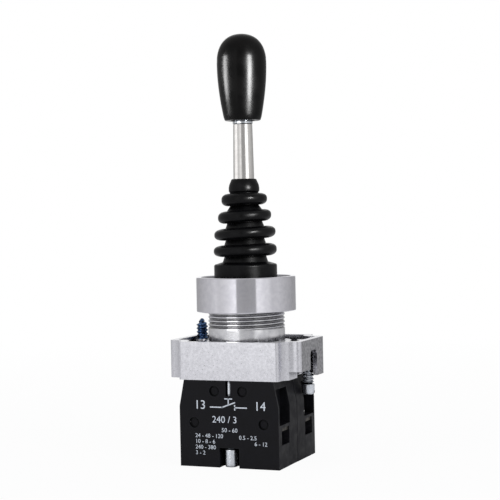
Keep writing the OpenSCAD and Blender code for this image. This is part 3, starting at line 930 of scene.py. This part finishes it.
@dataclass
class FixingCollar:
    """The die-cast collar behind the panel, with its two pressure screws."""

    joystick: Joystick
    lug_end: float = 19.9
    # How far in from a lug's end a face counts as an end face, which wears the darker copy as painted shade
    gate: float = 0.05
    rounding: float = 0.3
    screw_x: float = 16.4
    screw_y: float = 5.5
    left_tip: float = -2.8
    right_tip: float = -8.8
    screw_length: float = 15.5
    thread_radius: float = 1.7
    thread_length: float = 11.9
    thread_steps: int = 190
    thread_pitch: float = 1.05
    thread_depth: float = 0.4
    thread_runout: float = 0.3
    # The thread ends this far below the tip, and leaves what is nearer to the axis than its root
    thread_end: float = 0.1
    thread_root: float = 0.9
    # Radius of the tip, and how much it widens for each millimetre down
    point: Point = (0.3, 0.8)
    neck_radius: float = 1.2
    neck_cone: float = 0.5
    head_radius: float = 1.85
    head_height: float = 3.0
    # Roundings of the head's lower and upper edge, then width and depth of its slot
    head_rounds: Point = (0.7, 0.3)
    slot: Point = (0.6, 1.1)

    def casting(self) -> None:
        """Round the casting's edges and give its lugs' end faces a coarser copy of the finish, darkened as painted
        shade.
        """
        piece = self.joystick.rounded_copy("cast_fixing_collar", "fixing_collar", CAST_ZINC, self.rounding)
        # Painted shade: the lugs' end faces take the darker copy of the finish
        piece.data.materials.append(SHEARED_ZINC.material())
        for face in piece.data.polygons:
            if abs(face.center.x) > (self.lug_end - self.gate) * MM:
                face.material_index = 1

    def pressure_screw(self, name: str, node: str, x: float, tip: float, finish: Finish) -> None:
        """Turn a screw with a cone point, thread its upper part and slot its head.

        Args:
            name: the piece's name.
            node: the node that it replaces.
            x: where it stands along the collar.
            tip: the height of its point.
            finish: its finish.
        """
        foot, neck_top = tip - self.screw_length, tip - self.thread_length
        head_top = foot + self.head_height
        lower, upper = self.head_rounds
        narrow, widening = self.point
        heights = [neck_top + (tip - neck_top) * i / self.thread_steps for i in range(self.thread_steps + 1)]
        outline = [
            (0, foot), *arc((self.head_radius - lower, foot + lower), lower, -90, 0, 5),
            *arc((self.head_radius - upper, head_top - upper), upper, 0, 90, 4), (self.neck_radius, head_top),
            (self.neck_radius, neck_top - self.neck_cone),
            *[(min(self.thread_radius, narrow + widening * (tip - z)), z) for z in heights], (0, tip),
        ]
        centre = (x, self.screw_y)
        piece = turned(name, outline, steps=48, centre=centre)
        thread = Thread(neck_top, tip - self.thread_end, self.thread_pitch, self.thread_depth, self.thread_runout)
        thread.cut(piece, self.thread_root, centre)
        half, reach = self.slot[0] / 2, self.head_radius + OVERSHOOT
        near = (x - reach, self.screw_y - half, foot - OVERSHOOT)
        far = (x + reach, self.screw_y + half, foot + self.slot[1])
        carve(piece, block("slot_tool", near, far))
        smooth(piece, degrees=65)
        self.joystick.stand_in(piece, node, finish)

    def build(self) -> None:
        """Build the casting and both screws."""
        self.casting()
        self.pressure_screw("blued_pressure_screw", "left_pressure_screw", -self.screw_x, self.left_tip, BLUED_STEEL)
        self.pressure_screw("bright_pressure_screw", "right_pressure_screw", self.screw_x, self.right_tip, ZINC_PLATED)


@dataclass
class ContactBlock:
    """One contact block: cover, base, fixing screw and the marks on its printed face."""

    joystick: Joystick
    side: Side
    mould_round: float = 0.12
    screw_round: float = 0.18
    face: float = -14.9
    ink: float = 0.02
    stroke: float = 0.32
    # Plain figures: what stands there, its left end, its foot and its height
    figures: tuple[tuple[str, float, float, float], ...] = (
        ("13", -10.3, -26.6, 2.5), ("14", 7.7, -26.6, 2.5), ("240 / 3", -5.0, -30.3, 1.9),
        ("50 - 60", -2.2, -32.9, 1.2), ("24 - 48 - 120", -10.2, -34.6, 1.15), ("10 - 8 - 6", -10.2, -36.2, 1.15),
        ("240 - 380", -10.2, -37.8, 1.15), ("3 - 2", -10.2, -39.4, 1.15), ("0.5 - 2.5", 3.0, -34.8, 1.15),
        ("6 - 12", 7.6, -36.4, 1.15),
    )
    # The sign of a contact that closes when pushed, as lines from point to point
    sign: tuple[tuple[Point, Point], ...] = (
        ((-5.4, -26.0), (-1.9, -26.0)), ((-1.9, -26.0), (1.9, -24.6)), ((1.9, -26.0), (5.4, -26.0)),
        ((0.0, -25.1), (0.0, -23.6)), ((-1.0, -23.6), (1.0, -23.6)), ((1.9, -26.6), (1.9, -25.4)),
    )

    def housing(self) -> None:
        """Round the edges of the moulded cover and base."""
        word = self.side.value
        for part, finish in (("cover", BLOCK_POLYAMIDE), ("base", BASE_POLYAMIDE)):
            node = f"{word}_block_{part}"
            self.joystick.rounded_copy(f"{word}_moulded_{part}", node, finish, self.mould_round, segments=2)

    def screw(self) -> None:
        """Round the fixing screw's head."""
        word = self.side.value
        self.joystick.rounded_copy(f"{word}_long_screw", f"{word}_fixing_screw", ZINC_PLATED, self.screw_round)

    def return_spring(self) -> None:
        """Copy the return spring's shape and dress it in place of its node."""
        word = self.side.value
        node = f"{word}_plunger_spring"
        piece = self.joystick.merged_copy(f"{word}_coiled_return_spring", node)
        smooth(piece, SHARP_ANGLE)
        self.joystick.dress(piece, SPRING_WIRE, "plunger_spring")
        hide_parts(node)
        plunger = self.joystick.body_of(f"{word}_contact_plunger")
        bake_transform(piece)

    def figure(self, text: str, left: float, foot: float, height: float) -> Piece:
        """Set plain figures upright on the printed face.

        Args:
            text: the figures.
            left: where they start along X.
            foot: the height that they stand at.
            height: how tall they are.

        Returns:
            The figures as a mesh.
        """
        deselect()
        bpy.ops.object.text_add()
        piece = bpy.context.object
        piece.data.body = text
        piece.data.size = height * MM * FONT_SCALE
        piece.data.extrude = self.ink * MM
        piece.data.resolution_u = 3
        bpy.ops.object.convert(target="MESH")
        piece.location = Vector((left, self.face, foot)) * MM
        piece.rotation_euler = (math.pi / 2, 0, 0)
        return settle(piece)

    def line(self, start: Point, end: Point) -> Piece:
        """Draw one printed line on the face.

        Args:
            start: its first point, along X and Z.
            end: its last point.

        Returns:
            The line as a mesh.
        """
        deselect()
        run = Vector((end[0] - start[0], 0, end[1] - start[1]))
        middle = Vector(((start[0] + end[0]) / 2, self.face, (start[1] + end[1]) / 2))
        bpy.ops.mesh.primitive_cube_add(
            size=1, location=middle * MM, rotation=(0, -math.atan2(run.z, run.x), 0),
            scale=Vector((run.length + self.stroke, 2 * self.ink, self.stroke)) * MM,
        )
        return settle(bpy.context.object)

    def marks(self) -> None:
        """Print the contact's sign and its plain figures on the front face."""
        pieces = [self.line(*ends) for ends in self.sign]
        pieces += [self.figure(*figure) for figure in self.figures]
        pick(pieces[0])
        for piece in pieces:
            piece.select_set(True)
        bpy.ops.object.join()
        printed = bpy.context.object
        printed.name = printed.data.name = f"{self.side.value}_printed_marks"
        PRINT_INK.coat(printed)
        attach(printed, self.joystick.body_of(f"{self.side.value}_block_cover").value)

    def build(self) -> None:
        """Build the block's visible pieces; only the front block carries print."""
        self.housing()
        self.screw()
        self.return_spring()
        if self.side is Side.FRONT:
            self.marks()


@dataclass
class Studio:
    """A pale floor, a soft studio all round and the camera of the photograph.

    Attributes:
        camera: the camera's place in millimetres.
        aim: the point that it looks at.
        roll: how far it is turned about its own axis, in degrees.
        lens: its focal length on a 36 mm sensor.
        azimuth: the camera's direction from the object, in degrees.
        floor_radius: the floor's radius in metres.
        paint: the floor's colour where light falls on it.
        white: how much of the white backdrop it shows the camera at its middle.
        fade: the shares of the radius between which that rises to the whole.
        ambient: the even light on matt surfaces.
        ceiling: what metal mirrors overhead.
        ceiling_span: the rise of a ray between which the panels turn into the ceiling.
        panels: what metal mirrors round the horizon, as degrees right of the camera and brightness; the white
            ends are the backdrop behind the object.
    """

    camera: tuple[float, float, float] = (148.486, -368.070, 25.674)
    aim: tuple[float, float, float] = (1.282, 0.463, 17.318)
    roll: float = -1.144
    lens: float = 99.65
    azimuth: float = 21.97
    floor_radius: float = 0.45
    paint: str = "#c4c4c6"
    white: float = 0.95
    fade: Point = (0.2, 0.9)
    ambient: Colour = (0.8, 0.8, 0.81, 1)
    ceiling: Colour = (0.5, 0.5, 0.5, 1)
    ceiling_span: Point = (0.4, 0.85)
    panels: tuple[Point, ...] = (
        (-180, 0.95), (-168, 0.95), (-160, 0.36), (-134, 0.40), (-114, 0.48), (-86, 0.58), (-74, 0.66), (-63, 0.60),
        (-52, 0.68), (-42, 0.78), (-34, 0.92), (-28, 1.0), (-24, 1.0), (-21, 0.38), (0, 0.33), (21, 0.36),
        (24, 0.9), (32, 0.87), (42, 0.78), (52, 0.7), (62, 0.58), (80, 0.57), (98, 0.48), (114, 0.42), (134, 0.35),
        (160, 0.34), (168, 0.95), (180, 0.95),
    )

    def world(self) -> None:
        """White behind the object, soft panels for metal to mirror, and an even light for the rest."""
        world = bpy.data.worlds.new("studio")
        bpy.context.scene.world = world
        world.use_nodes = True
        tree = world.node_tree
        tree.nodes.clear()
        way = add_node(tree, "TexCoord").outputs["Generated"]
        parts = add_node(tree, "SeparateXYZ", {0: way}).outputs
        back = add_node(tree, "Math", {"operation": "MULTIPLY", 0: parts["Y"], 1: -1.0}).outputs[0]
        turn = add_node(tree, "Math", {"operation": "ARCTAN2", 0: parts["X"], 1: back}).outputs[0]
        turn = add_node(tree, "Math", {"operation": "SUBTRACT", 0: turn, 1: math.radians(self.azimuth)}).outputs[0]
        turn = add_node(tree, "Math", {"operation": "WRAP", 0: turn, 1: math.pi, 2: -math.pi}).outputs[0]
        share = add_node(tree, "MapRange", {"Value": turn, "From Min": -math.pi, "From Max": math.pi})
        ramp = add_node(tree, "ValToRGB", {"Fac": share.outputs["Result"]})
        while len(ramp.color_ramp.elements) < len(self.panels):
            ramp.color_ramp.elements.new(0.5)
        for stop, (degrees, level) in zip(ramp.color_ramp.elements, self.panels):
            stop.position = (degrees + 180) / 360
            stop.color = (level, level, level, 1)
        low, high = self.ceiling_span
        rise = {"interpolation_type": "SMOOTHSTEP", "Value": parts["Z"], "From Min": low, "From Max": high}
        overhead = add_node(tree, "MapRange", rise).outputs["Result"]
        ray = add_node(tree, "LightPath").outputs
        mirror = {"data_type": "RGBA", 0: overhead, 6: ramp.outputs["Color"], 7: self.ceiling}
        mirrored = add_node(tree, "Mix", mirror).outputs[2]
        lights = {"data_type": "RGBA", 0: ray["Is Glossy Ray"], 6: self.ambient, 7: mirrored}
        lit = add_node(tree, "Mix", lights).outputs[2]
        seen = add_node(tree, "Mix", {"data_type": "RGBA", 0: ray["Is Camera Ray"], 6: lit, 7: WHITE}).outputs[2]
        light = add_node(tree, "Background", {"Color": seen, "Strength": 1.0})
        add_node(tree, "OutputWorld", {"Surface": light.outputs[0]})

    def floor(self, level: float) -> None:
        """Lay a pale floor that shows white, keeps the object's shadow and is clear from below.

        Args:
            level: its height in metres.
        """
        deselect()
        bpy.ops.mesh.primitive_circle_add(
            vertices=96, radius=self.floor_radius, fill_type="NGON", location=(0, 0, level)
        )
        ground = bpy.context.object
        ground.name = "studio_floor"
        material = bpy.data.materials.new("matt_white_floor")
        material.use_nodes = True
        tree = material.node_tree
        tree.nodes.clear()
        paint = add_node(tree, "BsdfDiffuse", {"Color": linear(self.paint)}).outputs[0]
        white = add_node(tree, "Emission", {"Color": WHITE, "Strength": 1.0}).outputs[0]
        ray = add_node(tree, "LightPath").outputs["Is Camera Ray"]
        place = add_node(tree, "TexCoord").outputs["Object"]
        reach = add_node(tree, "VectorMath", {"operation": "LENGTH", 0: place}).outputs["Value"]
        near, far = [share * self.floor_radius for share in self.fade]
        fade = add_node(tree, "MapRange", {"Value": reach, "From Min": near, "From Max": far, "To Min": self.white})
        share = add_node(tree, "Math", {"operation": "MULTIPLY", 0: ray, 1: fade.outputs["Result"]}).outputs[0]
        mixed = add_node(tree, "MixShader", {0: share, 1: paint, 2: white}).outputs[0]
        below = add_node(tree, "NewGeometry").outputs["Backfacing"]
        clear = add_node(tree, "BsdfTransparent").outputs[0]
        one_sided = add_node(tree, "MixShader", {0: below, 1: mixed, 2: clear}).outputs[0]
        add_node(tree, "OutputMaterial", {"Surface": one_sided})
        ground.data.materials.append(material)
        ground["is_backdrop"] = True

    def lamp(
        self, name: str, bearing: float, distance: float, height: float, size: Point, watts: float,
        aim: float = 20.0,
    ) -> Piece:
        """Hang a soft box beside the object.

        Args:
            name: its name.
            bearing: degrees to the right of the camera, as the object sees it.
            distance: how far off it hangs, in metres.
            height: its height in metres.
            size: its width and height in metres.
            watts: its power.
            aim: the height that it faces, in millimetres.

        Returns:
            The lamp.
        """
        light = bpy.data.lights.new(name, "AREA")
        light.shape = "RECTANGLE"
        light.size, light.size_y = size
        light.energy = watts
        lamp = bpy.data.objects.new(name, light)
        bpy.context.scene.collection.objects.link(lamp)
        turn = math.radians(self.azimuth + bearing)
        lamp.location = (distance * math.sin(turn), -distance * math.cos(turn), height)
        facing = Vector((0, 0, aim * MM)) - lamp.location
        lamp.rotation_euler = facing.to_track_quat("-Z", "Y").to_euler()
        lamp.visible_camera = False
        return lamp

    def receivers(self, name: str, finishes: Sequence[Finish]) -> bpy.types.Collection:
        """Gather the pieces that wear some finishes, for a lamp that lights only those.

        Args:
            name: the collection's name.
            finishes: the finishes to look for.

        Returns:
            The collection of those pieces.
        """
        found = bpy.data.collections.new(name)
        wanted = {finish.name for finish in finishes}
        for piece in bpy.context.scene.objects:
            if piece.type == "MESH" and any(slot.name in wanted for slot in piece.material_slots):
                found.objects.link(piece)
        return found

    def lamps(self) -> None:
        """Two soft boxes for matt surfaces, and boxes whose gloss shows on one kind of surface each."""
        self.lamp("key_box", 38, 0.95, 0.62, (0.6, 0.6), 6).visible_glossy = False
        self.lamp("fill_box", -60, 0.95, 0.4, (0.7, 0.7), 4).visible_glossy = False
        for lamp, finishes in (
            (self.lamp("right_strip", 37, 0.36, 0.0725, (0.11, 0.185), 7.6, 70), (GRIP_RESIN,)),
            (self.lamp("left_strip", -82, 0.36, 0.09, (0.13, 0.14), 3.0, 80), (GRIP_RESIN,)),
            (self.lamp("boot_box", 32, 0.36, 0.115, (0.12, 0.05), 2.0, 26), (BOOT_RUBBER,)),
            (self.lamp("collar_box", -39, 0.22, -0.02, (0.09, 0.06), 0.005, -13), (CAST_ZINC,)),
            (self.lamp("metal_box", -46, 0.8, 0.25, (0.5, 0.5), 2.4), (NECK_NICKEL, ZINC_PLATED, BLUED_STEEL)),
            (self.lamp("right_rod_box", 42, 0.6, 0.08, (0.32, 0.5), 0.4, 60), (ROD_STEEL,)),
            (self.lamp("left_rod_box", -95, 0.6, 0.08, (0.5, 0.5), 0.45, 60), (ROD_STEEL,)),
        ):
            lamp.visible_diffuse = False
            lamp.light_linking.receiver_collection = self.receivers(f"lit_by_{lamp.name}", finishes)

    def shoot(self) -> None:
        """Set up the camera."""
        data = bpy.data.cameras.new("photograph")
        data.lens = self.lens
        data.sensor_width = 36
        camera = bpy.data.objects.new("photograph", data)
        bpy.context.scene.collection.objects.link(camera)
        place, aim = Vector(self.camera) * MM, Vector(self.aim) * MM
        upright = (aim - place).to_track_quat("-Z", "Y").to_matrix().to_4x4()
        camera.matrix_world = Matrix.Translation(place) @ upright @ Matrix.Rotation(math.radians(self.roll), 4, "Z")
        bpy.context.scene.camera = camera

    def build(self, level: float) -> None:
        """Set up the world, the floor, the lamps and the camera.

        Args:
            level: the floor's height in metres.
        """
        scene = bpy.context.scene
        scene.view_settings.view_transform = "Standard"
        self.world()
        self.floor(level)
        self.lamps()
        self.shoot()


def main() -> None:
    """Load the frame, dress the inner nodes, build each sub-assembly and set up the studio."""
    logging.basicConfig(level=logging.INFO, format="%(name)s: %(message)s")
    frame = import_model()
    cad_low, cad_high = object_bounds()
    joystick = Joystick(frame)
    for node, piece in frame["nodes"].items():
        if kind_of(node) in NODE_FINISH:
            NODE_FINISH[kind_of(node)].coat(piece)
    parts = [Grip(joystick), Rod(joystick), Boot(joystick), Head(joystick), FixingCollar(joystick)]
    parts += [ContactBlock(joystick, side) for side in Side]
    for part in parts:
        LOG.info("building %s", type(part).__name__)
        part.build()
    Studio().build(cad_low.z)


if __name__ == "__main__":
    main()
